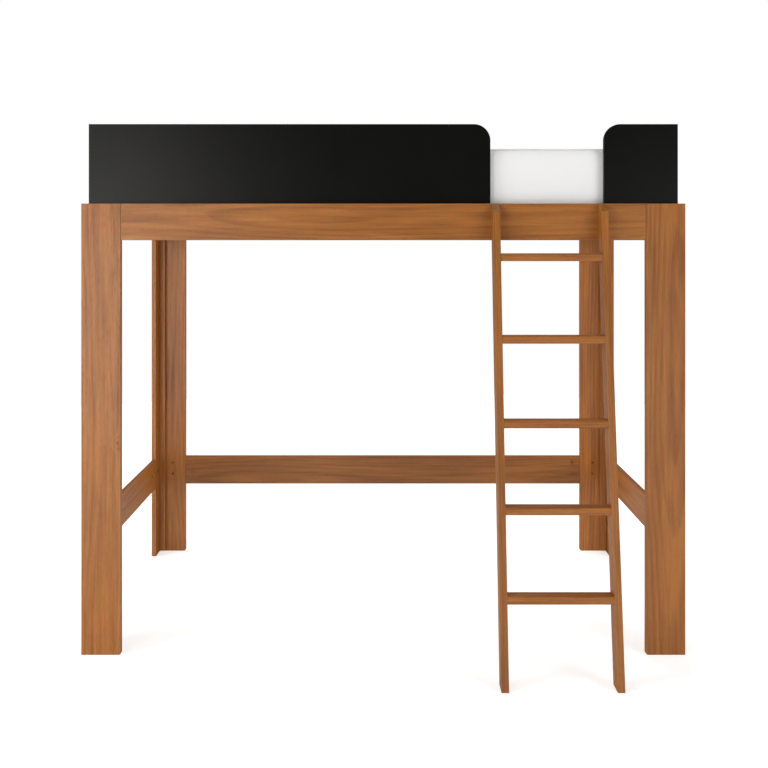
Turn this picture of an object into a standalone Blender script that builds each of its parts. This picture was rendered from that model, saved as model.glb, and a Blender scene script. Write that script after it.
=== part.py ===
"""Loft bed: a sleeping deck inside black guards, on four angle posts, with a leaning ladder.

Metres, +Z up. The floor is z = 0, and the origin is the middle of the ground that the bed and
its ladder cover. The ladder stands on the -Y side.

Places are worked out in the bed's own frame: x from the middle of the bed, y from the front
faces of the front posts towards the back, z from the floor. The empty ground_centre carries
that frame to the origin, and every piece is its child.
"""

import math

import bmesh
import bpy
from mathutils import Matrix, Vector

# Mattress
MATTRESS_LENGTH = 1.88
MATTRESS_WIDTH = 0.88
MATTRESS_HEIGHT = 0.20
MATTRESS_CLEARANCE = 0.014
MATTRESS_TOP_ROUNDING = 0.026
MATTRESS_BASE_ROUNDING = 0.012
MATTRESS_CORNER_RADIUS = 0.035
MATTRESS_CROWN = 0.006
MATTRESS_DRAW_IN = 0.003

# Boards that the frame and the guards are cut from
BOARD_THICKNESS = 0.018
GUARD_THICKNESS = 0.015
BOARD_EASING = 0.0012
SEAT_GAP = 0.0003

# Angle posts
POST_HEIGHT = 1.475
POST_FACE_WIDTH = 0.129
POST_SIDE_WIDTH = 0.072
FOOT_CHAMFER = 0.005
BATTEN_WIDTH = 0.025
BATTEN_DEPTH = 0.020
BATTEN_LIFT = 0.007

# Rails
RAIL_HEIGHT = 0.120
LOWER_RAIL_BASE = 0.292

# Guards
GUARD_HEIGHT = 0.360
GUARD_LAP = 0.098
GUARD_CORNER_RADIUS = 0.054
GUARD_EASING = 0.0015
RIGHT_GUARD_LENGTH = 0.2435
CLIMB_GAP = 0.373

# Deck
SLAT_COUNT = 12
SLAT_WIDTH = 0.090
SLAT_THICKNESS = 0.015
SLAT_TOP_DROP = 0.014
SLAT_END_CLEARANCE = 0.003
SLAT_MARGIN = 0.022
CLEAT_DEPTH = 0.022
CLEAT_HEIGHT = 0.040

# Ladder
LADDER_LEAN = math.radians(7.86)
STILE_THICKNESS = 0.023
STILE_DEPTH = 0.052
STILE_INSET = 0.001
STILE_TOP_DROP = 0.0015
STILE_LAND = 0.10625
STILE_BEVEL_DROP = 0.025
RUNG_COUNT = 5
RUNG_THICKNESS = 0.025
RUNG_DEPTH = 0.043
RUNG_SETBACK = 0.001
RUNG_EASING = 0.006
FIRST_RUNG_BASE = 0.248
TOP_RUNG_DROP = 0.187
TENON_LENGTH = 0.012
TENON_THICKNESS = 0.013
TENON_DEPTH = 0.024
TENON_EASING = 0.0015

# Connectors between the lower rails and the posts: a cam and a barrel nut on one bolt
CAM_DISTANCE = 0.034
CAM_RADIUS = 0.0075
CAM_FLOOR = 0.0042
NUT_DISTANCE = 0.055
NUT_RADIUS = 0.005
NUT_RECESS = 0.001
NUT_FLOOR = 0.003
BOLT_RADIUS = 0.003
BOLT_PAST_NUT = 0.007
REAR_BOLT_SHARES = (0.37, 0.77)
END_BOLT_SHARE = 0.53

# Ladder bolts, with a low round head on the inner face of the front rail
LADDER_BOLT_RADIUS = 0.0025
LADDER_BOLT_HEAD_RADIUS = 0.0055
LADDER_BOLT_HEAD_HEIGHT = 0.0026
LADDER_BOLT_BITE = 0.014
LADDER_BOLT_DROP = 0.022

# How finely round forms are cut, and how far a cutter runs past a face
CAM_SIDES = 16
BOLT_SIDES = 12
GUARD_CORNER_STEPS = 12
EDGE_STEPS = 3
MATTRESS_CORNER_STEPS = 4
LONG_SIDE_POINTS = 11
SHORT_SIDE_POINTS = 6
MATTRESS_EDGE_STEPS = 4
CROWN_RING_SHARES = (0.15, 0.4, 0.7)
SHARP_ANGLE = math.radians(40)
CUT_OVERRUN = 0.002

# Places worked out from the sizes above
FRAME_LENGTH = MATTRESS_LENGTH + 2 * (MATTRESS_CLEARANCE + GUARD_THICKNESS + BOARD_THICKNESS)
FRAME_DEPTH = MATTRESS_WIDTH + 2 * (MATTRESS_CLEARANCE + GUARD_THICKNESS + BOARD_THICKNESS)
OUTER_X = FRAME_LENGTH / 2
INNER_X = OUTER_X - BOARD_THICKNESS
FRONT_INNER_Y = BOARD_THICKNESS
REAR_INNER_Y = FRAME_DEPTH - BOARD_THICKNESS
RAIL_END_X = OUTER_X - POST_FACE_WIDTH
RAIL_END_FRONT_Y = BOARD_THICKNESS + POST_SIDE_WIDTH
RAIL_END_REAR_Y = FRAME_DEPTH - RAIL_END_FRONT_Y
TOP_RAIL_BASE = POST_HEIGHT - RAIL_HEIGHT
GUARD_BASE = POST_HEIGHT - GUARD_LAP
SLAT_TOP = POST_HEIGHT - SLAT_TOP_DROP
SLAT_BASE = SLAT_TOP - SLAT_THICKNESS
CLEAT_TOP = SLAT_BASE - SEAT_GAP
CLEAT_BASE = CLEAT_TOP - CLEAT_HEIGHT
FRONT_GUARD_Y = FRONT_INNER_Y + SEAT_GAP
FRONT_GUARD_INNER_Y = FRONT_GUARD_Y + GUARD_THICKNESS
REAR_GUARD_INNER_Y = FRAME_DEPTH - FRONT_GUARD_INNER_Y
GUARD_END_X = INNER_X - SEAT_GAP
END_GUARD_INNER_X = GUARD_END_X - GUARD_THICKNESS
CLIMB_GAP_RIGHT_X = GUARD_END_X - RIGHT_GUARD_LENGTH
CLIMB_GAP_LEFT_X = CLIMB_GAP_RIGHT_X - CLIMB_GAP
LADDER_LEFT_X = CLIMB_GAP_LEFT_X + STILE_INSET
LADDER_RIGHT_X = CLIMB_GAP_RIGHT_X - STILE_INSET
LEFT_SHOULDER_X = LADDER_LEFT_X + STILE_THICKNESS
RIGHT_SHOULDER_X = LADDER_RIGHT_X - STILE_THICKNESS
LEAN_SLOPE = math.tan(LADDER_LEAN)
STILE_LEVEL_DEPTH = STILE_DEPTH / math.cos(LADDER_LEAN)
STILE_TOP = POST_HEIGHT - STILE_TOP_DROP
LAND_BASE = STILE_TOP - STILE_LAND
LADDER_REACH = STILE_LEVEL_DEPTH + SEAT_GAP + LAND_BASE * LEAN_SLOPE
GROUND_CENTRE_Y = (FRAME_DEPTH - LADDER_REACH) / 2

# Colour, roughness and metallic value of each finish
FINISHES = {
    "stained_wood": ((0.40, 0.19, 0.085), 0.45, 0.0),
    "black_lacquer": ((0.012, 0.012, 0.011), 0.40, 0.0),
    "pine": ((0.62, 0.43, 0.24), 0.60, 0.0),
    "white_cover": ((0.84, 0.84, 0.83), 0.85, 0.0),
    "zinc": ((0.62, 0.61, 0.58), 0.35, 1.0),
}


def clear_scene():
    for old in list(bpy.data.objects):
        bpy.data.objects.remove(old, do_unlink=True)


def finish_material(piece_name, finish):
    colour, roughness, metallic = FINISHES[finish]
    material = bpy.data.materials.new(piece_name + "_" + finish)
    material.use_nodes = True
    shader = material.node_tree.nodes["Principled BSDF"]
    shader.inputs["Base Color"].default_value = (*colour, 1.0)
    shader.inputs["Roughness"].default_value = roughness
    shader.inputs["Metallic"].default_value = metallic
    material.diffuse_color = (*colour, 1.0)
    return material


def add_object(name, mesh, parent):
    thing = bpy.data.objects.new(name, mesh)
    bpy.context.scene.collection.objects.link(thing)
    thing.parent = parent
    return thing


def mesh_from(name, shape):
    bmesh.ops.recalc_face_normals(shape, faces=shape.faces)
    mesh = bpy.data.meshes.new(name)
    shape.to_mesh(mesh)
    shape.free()
    return mesh


def round_shading(mesh):
    mesh.shade_smooth()
    mesh.set_sharp_from_angle(angle=SHARP_ANGLE)


def ease_edges(piece, width, segments):
    bevel = piece.modifiers.new("eased_edges", "BEVEL")
    bevel.limit_method = "ANGLE"
    bevel.width = width
    bevel.segments = segments


def board(ground, name, finish, low, high):
    """A straight board between its lowest and highest corners, with eased edges."""
    low = Vector(low)
    high = Vector(high)
    shape = bmesh.new()
    bmesh.ops.create_cube(shape, size=1)
    bmesh.ops.scale(shape, vec=high - low, verts=shape.verts)
    piece = add_object(name, mesh_from(name, shape), ground)
    piece.location = (low + high) / 2
    piece.data.materials.append(finish_material(name, finish))
    ease_edges(piece, BOARD_EASING, 1)
    return piece


def profile_board(ground, name, finish, outline, thickness, location, along_y, easing, segments):
    """A board cut to an outline of (length, height) points.

    Its length runs along x and its thickness towards +y, or, turned, along y and towards -x.
    """
    shape = bmesh.new()
    corners = [shape.verts.new((length, 0, height)) for length, height in outline]
    face = shape.faces.new(corners)
    grown = bmesh.ops.extrude_face_region(shape, geom=[face])
    moved = [item for item in grown["geom"] if isinstance(item, bmesh.types.BMVert)]
    bmesh.ops.translate(shape, vec=(0, thickness, 0), verts=moved)
    piece = add_object(name, mesh_from(name, shape), ground)
    piece.location = location
    if along_y:
        piece.rotation_euler = (0, 0, math.pi / 2)
    piece.data.materials.append(finish_material(name, finish))
    ease_edges(piece, easing, segments)
    return piece


def add_loft(shape, rings):
    """Skin a closed solid over rings of points that have the same count, with flat ends."""
    loops = [[shape.verts.new(point) for point in ring] for ring in rings]
    for lower, upper in zip(loops, loops[1:]):
        for index in range(len(lower)):
            after = (index + 1) % len(lower)
            shape.faces.new((lower[index], lower[after], upper[after], upper[index]))
    shape.faces.new(list(reversed(loops[0])))
    shape.faces.new(loops[-1])


def round_rings(profile, sides, point, direction):
    """Circles of (radius, distance) about a line from a point."""
    turn = Vector(direction).to_track_quat("Z", "Y").to_matrix().to_4x4()
    place = Matrix.Translation(point) @ turn
    angles = [math.tau * (side + 0.5) / sides for side in range(sides)]
    return [
        [place @ Vector((radius * math.cos(a), radius * math.sin(a), distance)) for a in angles]
        for radius, distance in profile]


def turned_mesh(name, profile, sides, places):
    shape = bmesh.new()
    for point, direction in places:
        add_loft(shape, round_rings(profile, sides, point, direction))
    mesh = mesh_from(name, shape)
    round_shading(mesh)
    return mesh


def hidden_tool(ground, name, mesh):
    """A solid that only cuts or joins another one."""
    tool = add_object(name, mesh, ground)
    tool.hide_render = True
    tool.display_type = "WIRE"
    return tool


def apply_tool(pieces, tool, operation):
    for piece in pieces:
        boolean = piece.modifiers.new(tool.name, "BOOLEAN")
        boolean.operation = operation
        boolean.solver = "EXACT"
        boolean.object = tool


def foot_outline(width, inner_first):
    """A post board whose inner lower corner is cut back."""
    outline = [
        (0, 0),
        (width - FOOT_CHAMFER, 0),
        (width, FOOT_CHAMFER),
        (width, POST_HEIGHT),
        (0, POST_HEIGHT),
    ]
    if inner_first:
        outline = [(width - length, height) for length, height in reversed(outline)]
    return outline


def make_post(ground, right, front):
    """An angle post: a face board, a side board behind it and a batten in the corner."""
    place = ("front_" if front else "rear_") + ("right" if right else "left")
    face_start = (RAIL_END_X if right else -OUTER_X, 0 if front else REAR_INNER_Y, 0)
    face_board = profile_board(
        ground, "post_face_" + place, "stained_wood", foot_outline(POST_FACE_WIDTH, right),
        BOARD_THICKNESS, face_start, False, BOARD_EASING, 1)
    side_y = FRONT_INNER_Y + SEAT_GAP if front else RAIL_END_REAR_Y
    side_start = (OUTER_X if right else -INNER_X, side_y, 0)
    side_board = profile_board(
        ground, "post_side_" + place, "stained_wood",
        foot_outline(POST_SIDE_WIDTH - SEAT_GAP, not front),
        BOARD_THICKNESS, side_start, True, BOARD_EASING, 1)
    batten_x = INNER_X - SEAT_GAP - BATTEN_WIDTH if right else -INNER_X + SEAT_GAP
    batten_y = FRONT_INNER_Y + SEAT_GAP if front else REAR_INNER_Y - SEAT_GAP - BATTEN_DEPTH
    board(
        ground, "corner_batten_" + place, "stained_wood", (batten_x, batten_y, BATTEN_LIFT),
        (batten_x + BATTEN_WIDTH, batten_y + BATTEN_DEPTH, GUARD_BASE - SEAT_GAP))
    return face_board, side_board


def make_posts(ground):
    posts = {}
    for right in (False, True):
        for front in (True, False):
            posts[right, front] = make_post(ground, right, front)
    return posts


def long_rail(ground, name, front, base):
    start = 0 if front else REAR_INNER_Y
    half = RAIL_END_X - SEAT_GAP
    return board(
        ground, name, "stained_wood", (-half, start, base),
        (half, start + BOARD_THICKNESS, base + RAIL_HEIGHT))


def end_rail(ground, name, right, base):
    start = INNER_X if right else -OUTER_X
    return board(
        ground, name, "stained_wood", (start, RAIL_END_FRONT_Y + SEAT_GAP, base),
        (start + BOARD_THICKNESS, RAIL_END_REAR_Y - SEAT_GAP, base + RAIL_HEIGHT))


def make_rails(ground):
    """Top rails on all four sides, and lower rails on all but the ladder side."""
    return {
        "top_front": long_rail(ground, "top_rail_front", True, TOP_RAIL_BASE),
        "top_rear": long_rail(ground, "top_rail_rear", False, TOP_RAIL_BASE),
        "top_left": end_rail(ground, "top_rail_left", False, TOP_RAIL_BASE),
        "top_right": end_rail(ground, "top_rail_right", True, TOP_RAIL_BASE),
        "lower_rear": long_rail(ground, "lower_rail_rear", False, LOWER_RAIL_BASE),
        "lower_left": end_rail(ground, "lower_rail_left", False, LOWER_RAIL_BASE),
        "lower_right": end_rail(ground, "lower_rail_right", True, LOWER_RAIL_BASE),
    }


def guard_outline(length, round_start, round_end):
    """A guard panel, with a round upper corner beside the climb-in gap."""
    radius = GUARD_CORNER_RADIUS
    rise = GUARD_HEIGHT - radius
    steps = range(GUARD_CORNER_STEPS + 1)
    quarter = [math.pi / 2 * step / GUARD_CORNER_STEPS for step in steps]
    outline = [(0, 0), (length, 0)]
    if round_end:
        middle = length - radius
        outline += [(middle + radius * math.cos(a), rise + radius * math.sin(a)) for a in quarter]
    else:
        outline.append((length, GUARD_HEIGHT))
    if round_start:
        outline += [(radius - radius * math.sin(a), rise + radius * math.cos(a)) for a in quarter]
    else:
        outline.append((0, GUARD_HEIGHT))
    return outline


def make_guards(ground):
    """Five black panels that stand behind the top rails and close the deck in."""
    left_length = CLIMB_GAP_LEFT_X + GUARD_END_X
    end_y = FRONT_GUARD_INNER_Y + SEAT_GAP
    end_length = REAR_GUARD_INNER_Y - SEAT_GAP - end_y
    layout = (
        ("guard_front_left", left_length, False, True, -GUARD_END_X, FRONT_GUARD_Y, False),
        ("guard_front_right", RIGHT_GUARD_LENGTH, True, False, CLIMB_GAP_RIGHT_X, FRONT_GUARD_Y, False),
        ("guard_rear", 2 * GUARD_END_X, False, False, -GUARD_END_X, REAR_GUARD_INNER_Y, False),
        ("guard_left_end", end_length, False, False, -END_GUARD_INNER_X, end_y, True),
        ("guard_right_end", end_length, False, False, GUARD_END_X, end_y, True),
    )
    for name, length, round_start, round_end, start_x, start_y, along_y in layout:
        profile_board(
            ground, name, "black_lacquer", guard_outline(length, round_start, round_end),
            GUARD_THICKNESS, (start_x, start_y, GUARD_BASE), along_y, GUARD_EASING, 2)


def make_deck(ground):
    """Two cleats inside the long guards, and the slats that lie across them."""
    half = END_GUARD_INNER_X - SEAT_GAP
    front = FRONT_GUARD_INNER_Y + SEAT_GAP
    rear = REAR_GUARD_INNER_Y - SEAT_GAP
    board(
        ground, "cleat_front", "pine", (-half, front, CLEAT_BASE),
        (half, front + CLEAT_DEPTH, CLEAT_TOP))
    board(
        ground, "cleat_rear", "pine", (-half, rear - CLEAT_DEPTH, CLEAT_BASE),
        (half, rear, CLEAT_TOP))
    first = SLAT_MARGIN + SLAT_WIDTH / 2 - END_GUARD_INNER_X
    step = -2 * first / (SLAT_COUNT - 1)
    start_y = FRONT_GUARD_INNER_Y + SLAT_END_CLEARANCE
    end_y = REAR_GUARD_INNER_Y - SLAT_END_CLEARANCE
    for index in range(SLAT_COUNT):
        middle = first + index * step
        board(
            ground, "slat_" + format(index + 1, "02d"), "pine",
            (middle - SLAT_WIDTH / 2, start_y, SLAT_BASE),
            (middle + SLAT_WIDTH / 2, end_y, SLAT_TOP))


def stile_front_y(height):
    """The front edge of a stile at a height: it leans in towards the bed."""
    return height * LEAN_SLOPE - LADDER_REACH


def stile_outline():
    """A leaning stile: flat foot, upright land against the rail and a bevelled top."""
    bevel_base = STILE_TOP - STILE_BEVEL_DROP
    return [
        (stile_front_y(0), 0),
        (stile_front_y(0) + STILE_LEVEL_DEPTH, 0),
        (-SEAT_GAP, LAND_BASE),
        (-SEAT_GAP, STILE_TOP),
        (stile_front_y(bevel_base), bevel_base),
    ]


def rung_middles():
    """The middle of each rung's section, as (y, z): level, evenly spaced, near the stiles' fronts."""
    top = POST_HEIGHT - TOP_RUNG_DROP
    step = (top - FIRST_RUNG_BASE) / (RUNG_COUNT - 1)
    heights = [FIRST_RUNG_BASE + index * step + RUNG_THICKNESS / 2 for index in range(RUNG_COUNT)]
    inset = RUNG_SETBACK + RUNG_DEPTH / 2
    return [(stile_front_y(height) + inset, height) for height in heights]


def section_ring(x, depth, height, radius, middle):
    """A level rounded rectangle across the ladder, about a (y, z) middle."""
    ring = []
    for corner, (sign_y, sign_z) in enumerate(((1, 1), (-1, 1), (-1, -1), (1, -1))):
        for step in range(EDGE_STEPS + 1):
            angle = math.pi / 2 * (corner + step / EDGE_STEPS)
            y = sign_y * (depth / 2 - radius) + radius * math.cos(angle)
            z = sign_z * (height / 2 - radius) + radius * math.sin(angle)
            ring.append(Vector((x, middle[0] + y, middle[1] + z)))
    return ring


def rung_mesh(name):
    """A rung about its own middle: round-edged body, square shoulders and a stub tenon at each end."""
    shoulder = (RIGHT_SHOULDER_X - LEFT_SHOULDER_X) / 2 - SEAT_GAP
    end = shoulder + TENON_LENGTH
    tenon = (TENON_DEPTH, TENON_THICKNESS, TENON_EASING, (0, 0))
    body = (RUNG_DEPTH, RUNG_THICKNESS, RUNG_EASING, (0, 0))
    stations = ((-end, tenon), (-shoulder, tenon), (-shoulder, body),
                (shoulder, body), (shoulder, tenon), (end, tenon))
    shape = bmesh.new()
    add_loft(shape, [section_ring(x, *section) for x, section in stations])
    mesh = mesh_from(name, shape)
    round_shading(mesh)
    return mesh


def mortise_mesh(middles):
    """Cutters for the rungs' tenons, a fitting gap larger all round, in both stiles."""
    shape = bmesh.new()
    reach = TENON_LENGTH
    size = (TENON_DEPTH + 2 * SEAT_GAP, TENON_THICKNESS + 2 * SEAT_GAP, TENON_EASING + SEAT_GAP)
    for middle in middles:
        for shoulder, outward in ((LEFT_SHOULDER_X, -1), (RIGHT_SHOULDER_X, 1)):
            start = shoulder - outward * CUT_OVERRUN
            end = shoulder + outward * reach
            add_loft(shape, [section_ring(x, *size, middle) for x in (start, end)])
    return mesh_from("mortises", shape)


def make_ladder(ground):
    """Two leaning stiles with level rungs tenoned between them."""
    stiles = []
    for name, right_x in (("stile_left", LEFT_SHOULDER_X), ("stile_right", LADDER_RIGHT_X)):
        stiles.append(profile_board(
            ground, name, "stained_wood", stile_outline(), STILE_THICKNESS, (right_x, 0, 0),
            True, BOARD_EASING, 2))
    middles = rung_middles()
    middle_x = (LADDER_LEFT_X + LADDER_RIGHT_X) / 2
    for number, (middle_y, height) in enumerate(middles, 1):
        name = "rung_" + str(number)
        rung = add_object(name, rung_mesh(name), ground)
        rung.location = (middle_x, middle_y, height)
        rung.data.materials.append(finish_material(name, "stained_wood"))
    apply_tool(stiles, hidden_tool(ground, "mortises", mortise_mesh(middles)), "DIFFERENCE")
    return stiles


def mattress_ring(inset, height, draw_in):
    """A rounded rectangle, set in from the full size and drawn in between its corners."""
    half_length = MATTRESS_LENGTH / 2
    half_width = MATTRESS_WIDTH / 2
    radius = MATTRESS_CORNER_RADIUS
    straight_x = half_length - radius
    straight_y = half_width - radius
    points = []
    for corner, (sign_x, sign_y) in enumerate(((1, 1), (-1, 1), (-1, -1), (1, -1))):
        for step in range(MATTRESS_CORNER_STEPS + 1):
            angle = math.pi / 2 * (corner + step / MATTRESS_CORNER_STEPS)
            x = sign_x * straight_x + radius * math.cos(angle)
            y = sign_y * straight_y + radius * math.sin(angle)
            points.append((x, y))
        long_side = corner % 2 == 0
        count = LONG_SIDE_POINTS if long_side else SHORT_SIDE_POINTS
        for step in range(1, count + 1):
            share = step / (count + 1)
            pull = draw_in * math.sin(math.pi * share)
            travel = 1 - 2 * share
            if long_side:
                points.append((sign_x * straight_x * travel, sign_y * (half_width - pull)))
            else:
                points.append((sign_x * (half_length - pull), sign_y * straight_y * travel))
    across = 1 - inset / half_length
    deep = 1 - inset / half_width
    return [Vector((x * across, y * deep, height)) for x, y in points]


def mattress_rings():
    """Rings from the flat base round the lower edge, up the sides and over the crown."""
    base_radius = MATTRESS_BASE_ROUNDING
    top_radius = MATTRESS_TOP_ROUNDING
    turns = [math.pi / 2 * step / MATTRESS_EDGE_STEPS for step in range(MATTRESS_EDGE_STEPS + 1)]
    rings = []
    for turn in turns:
        inset = base_radius * (1 - math.sin(turn))
        rings.append(mattress_ring(inset, base_radius * (1 - math.cos(turn)), 0))
    rings.append(mattress_ring(0, MATTRESS_HEIGHT / 2, MATTRESS_DRAW_IN))
    for turn in turns:
        inset = top_radius * (1 - math.cos(turn))
        height = MATTRESS_HEIGHT - top_radius * (1 - math.sin(turn))
        rings.append(mattress_ring(inset, height, 0))
    for share in CROWN_RING_SHARES:
        inset = top_radius + share * (MATTRESS_WIDTH / 2 - top_radius)
        rise = MATTRESS_CROWN * (1 - (1 - share) ** 2)
        rings.append(mattress_ring(inset, MATTRESS_HEIGHT + rise, 0))
    return rings


def make_mattress(ground):
    """The mattress: flat below, sides drawn in, edges rounded and the top a little crowned."""
    shape = bmesh.new()
    add_loft(shape, mattress_rings())
    mesh = mesh_from("mattress", shape)
    round_shading(mesh)
    mattress = add_object("mattress", mesh, ground)
    mattress.location = (0, FRAME_DEPTH / 2, SLAT_TOP + SEAT_GAP)
    mattress.data.materials.append(finish_material("mattress", "white_cover"))


def lower_rail_joints():
    """Each connector: its name, the seam's point on the inner faces, the way to its cam, the way in."""
    joints = []
    for side_name, side in (("left", -1), ("right", 1)):
        for level, share in zip(("low", "high"), REAR_BOLT_SHARES):
            name = "_".join(("connector_rear", side_name, level))
            seam = Vector((side * RAIL_END_X, REAR_INNER_Y, LOWER_RAIL_BASE + share * RAIL_HEIGHT))
            joints.append((name, seam, Vector((-side, 0, 0)), Vector((0, 1, 0))))
        for end_name, seam_y, to_post in (
                ("front", RAIL_END_FRONT_Y, -1), ("rear", RAIL_END_REAR_Y, 1)):
            name = "_".join(("connector_end", side_name, end_name))
            height = LOWER_RAIL_BASE + END_BOLT_SHARE * RAIL_HEIGHT
            seam = Vector((side * INNER_X, seam_y, height))
            joints.append((name, seam, Vector((0, to_post, 0)), Vector((side, 0, 0))))
    return joints


def make_connectors(ground, boards):
    """A bolt across each seam of the lower rails, drawn up by a cam on one side into a nut on the other.

    The cam sits in the rear rail, or in the side board of the post, and the nut across the seam.
    """
    cam_depth = BOARD_THICKNESS - CAM_FLOOR
    nut_depth = BOARD_THICKNESS - NUT_FLOOR
    bolt_length = CAM_DISTANCE + NUT_DISTANCE + BOLT_PAST_NUT
    cam = [(CAM_RADIUS, SEAT_GAP), (CAM_RADIUS, cam_depth)]
    nut = [(NUT_RADIUS, NUT_RECESS), (NUT_RADIUS, nut_depth)]
    bolt = [(BOLT_RADIUS, 0), (BOLT_RADIUS, bolt_length)]
    cam_hole = [(CAM_RADIUS + SEAT_GAP, -CUT_OVERRUN), (CAM_RADIUS + SEAT_GAP, cam_depth + SEAT_GAP)]
    nut_hole = [(NUT_RADIUS + SEAT_GAP, -CUT_OVERRUN), (NUT_RADIUS + SEAT_GAP, nut_depth + SEAT_GAP)]
    bolt_hole = [(BOLT_RADIUS + SEAT_GAP, -SEAT_GAP), (BOLT_RADIUS + SEAT_GAP, bolt_length + SEAT_GAP)]
    cams = []
    nuts = []
    bolts = []
    for name, seam, to_cam, into_board in lower_rail_joints():
        cam_place = (seam + to_cam * CAM_DISTANCE, into_board)
        nut_place = (seam - to_cam * NUT_DISTANCE, into_board)
        bolt_place = (cam_place[0] + into_board * BOARD_THICKNESS / 2, -to_cam)
        connector = add_object(name, turned_mesh(name, bolt, BOLT_SIDES, [bolt_place]), ground)
        connector.data.materials.append(finish_material(name, "zinc"))
        for part_name, profile, place in (("_cam", cam, cam_place), ("_nut", nut, nut_place)):
            mesh = turned_mesh(name + part_name, profile, CAM_SIDES, [place])
            apply_tool([connector], hidden_tool(ground, name + part_name, mesh), "UNION")
        cams.append(cam_place)
        nuts.append(nut_place)
        bolts.append(bolt_place)
    for name, profile, sides, places in (
            ("cam_holes", cam_hole, CAM_SIDES, cams),
            ("nut_holes", nut_hole, CAM_SIDES, nuts),
            ("bolt_holes", bolt_hole, BOLT_SIDES, bolts)):
        cutter = hidden_tool(ground, name, turned_mesh(name, profile, sides, places))
        apply_tool(boards, cutter, "DIFFERENCE")


def make_ladder_bolts(ground, rail, stiles):
    """A bolt through the front rail into the upright land of each stile."""
    head = LADDER_BOLT_HEAD_RADIUS
    shank = LADDER_BOLT_RADIUS
    length = BOARD_THICKNESS + SEAT_GAP + LADDER_BOLT_BITE
    profile = [
        (head / 2, -LADDER_BOLT_HEAD_HEIGHT),
        (head, -LADDER_BOLT_HEAD_HEIGHT / 2),
        (head, -SEAT_GAP),
        (shank, -SEAT_GAP),
        (shank, length),
    ]
    hole = [(shank + SEAT_GAP, -CUT_OVERRUN), (shank + SEAT_GAP, length + SEAT_GAP)]
    places = []
    for name, x in (
            ("ladder_bolt_left", LADDER_LEFT_X + STILE_THICKNESS / 2),
            ("ladder_bolt_right", LADDER_RIGHT_X - STILE_THICKNESS / 2)):
        place = (Vector((x, FRONT_INNER_Y, POST_HEIGHT - LADDER_BOLT_DROP)), Vector((0, -1, 0)))
        bolt = add_object(name, turned_mesh(name, profile, BOLT_SIDES, [place]), ground)
        bolt.data.materials.append(finish_material(name, "zinc"))
        places.append(place)
    holes = turned_mesh("ladder_bolt_holes", hole, BOLT_SIDES, places)
    apply_tool([rail] + stiles, hidden_tool(ground, "ladder_bolt_holes", holes), "DIFFERENCE")


def main():
    clear_scene()
    ground = add_object("ground_centre", None, None)
    ground.location = (0, -GROUND_CENTRE_Y, 0)
    posts = make_posts(ground)
    rails = make_rails(ground)
    make_guards(ground)
    make_deck(ground)
    stiles = make_ladder(ground)
    make_mattress(ground)
    make_connectors(ground, [
        posts[False, False][0], posts[True, False][0],
        posts[False, True][1], posts[False, False][1],
        posts[True, True][1], posts[True, False][1],
        rails["lower_rear"], rails["lower_left"], rails["lower_right"]])
    make_ladder_bolts(ground, rails["top_front"], stiles)


main()
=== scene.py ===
"""Loft bed: the finish of its boards, its mattress cover, its small fittings, and a plain studio.

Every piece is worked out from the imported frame, in metres, +Z up, with the ladder at the -Y side.
"""

import math

import bpy
import numpy as np
from bpy.props import FloatProperty, FloatVectorProperty, IntProperty, PointerProperty
from mathutils import Matrix, Vector


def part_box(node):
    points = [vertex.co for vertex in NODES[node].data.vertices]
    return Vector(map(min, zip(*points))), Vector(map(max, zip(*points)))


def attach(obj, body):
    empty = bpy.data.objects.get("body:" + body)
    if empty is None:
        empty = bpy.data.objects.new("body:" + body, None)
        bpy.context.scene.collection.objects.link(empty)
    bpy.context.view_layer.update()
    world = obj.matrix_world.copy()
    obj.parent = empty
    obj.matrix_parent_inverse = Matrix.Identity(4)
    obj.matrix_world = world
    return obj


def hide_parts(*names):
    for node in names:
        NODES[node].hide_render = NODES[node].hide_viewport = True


bl_info = {
    "name": "Loft bed dresser",
    "version": (1, 0, 0),
    "blender": (4, 5, 0),
    "location": "3D View > Sidebar > Loft bed",
    "description": "Finishes, mattress cover, fittings and studio for a packed loft bed",
    "category": "Object",
}

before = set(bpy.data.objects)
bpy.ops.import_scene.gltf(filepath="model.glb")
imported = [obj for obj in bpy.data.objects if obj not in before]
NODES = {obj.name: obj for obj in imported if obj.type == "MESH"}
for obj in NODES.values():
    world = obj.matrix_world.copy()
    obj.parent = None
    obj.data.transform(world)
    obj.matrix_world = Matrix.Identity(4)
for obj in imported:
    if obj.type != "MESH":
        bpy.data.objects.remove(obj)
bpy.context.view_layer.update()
X_AXIS, Y_AXIS, Z_AXIS = range(3)


def named(start):
    """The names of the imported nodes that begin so, in order."""
    return sorted(name for name in NODES if name.startswith(start))


RUNGS = named("rung_")
STILES = named("stile_")
GUARDS = named("guard_")
CLEATS = named("cleat_")
SLATS = named("slat_")
CONNECTORS = named("connector_")
BOLTS = named("ladder_bolt_")
STAINED_ALONG_X = ["top_rail_front", "top_rail_rear", "lower_rail_rear"] + RUNGS
STAINED_ALONG_Y = ["top_rail_left", "top_rail_right", "lower_rail_left", "lower_rail_right"]
STAINED_ALONG_Z = named("post_face_") + named("post_side_") + named("corner_batten_")

# How light each stained board is beside the others: the stain takes unevenly from board to board.
# Part of it is painted light: boards the lamps light too little or too much are painted lighter or
# darker.
BOARD_STAIN_AND_LIGHT_TONES = {
    "lower_rail_rear": 0.77,
    "lower_rail_left": 1.13,
    "lower_rail_right": 1.06,
    "post_face_rear_left": 1.04,
    "post_face_rear_right": 1.14,
    "top_rail_front": 0.97,
    "post_side_rear_left": 1.1,
    "rung_1": 1.06,
    "rung_2": 1.04,
    "rung_3": 1.05,
    "stile_left": 0.93,
    "stile_right": 0.97,
}

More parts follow.
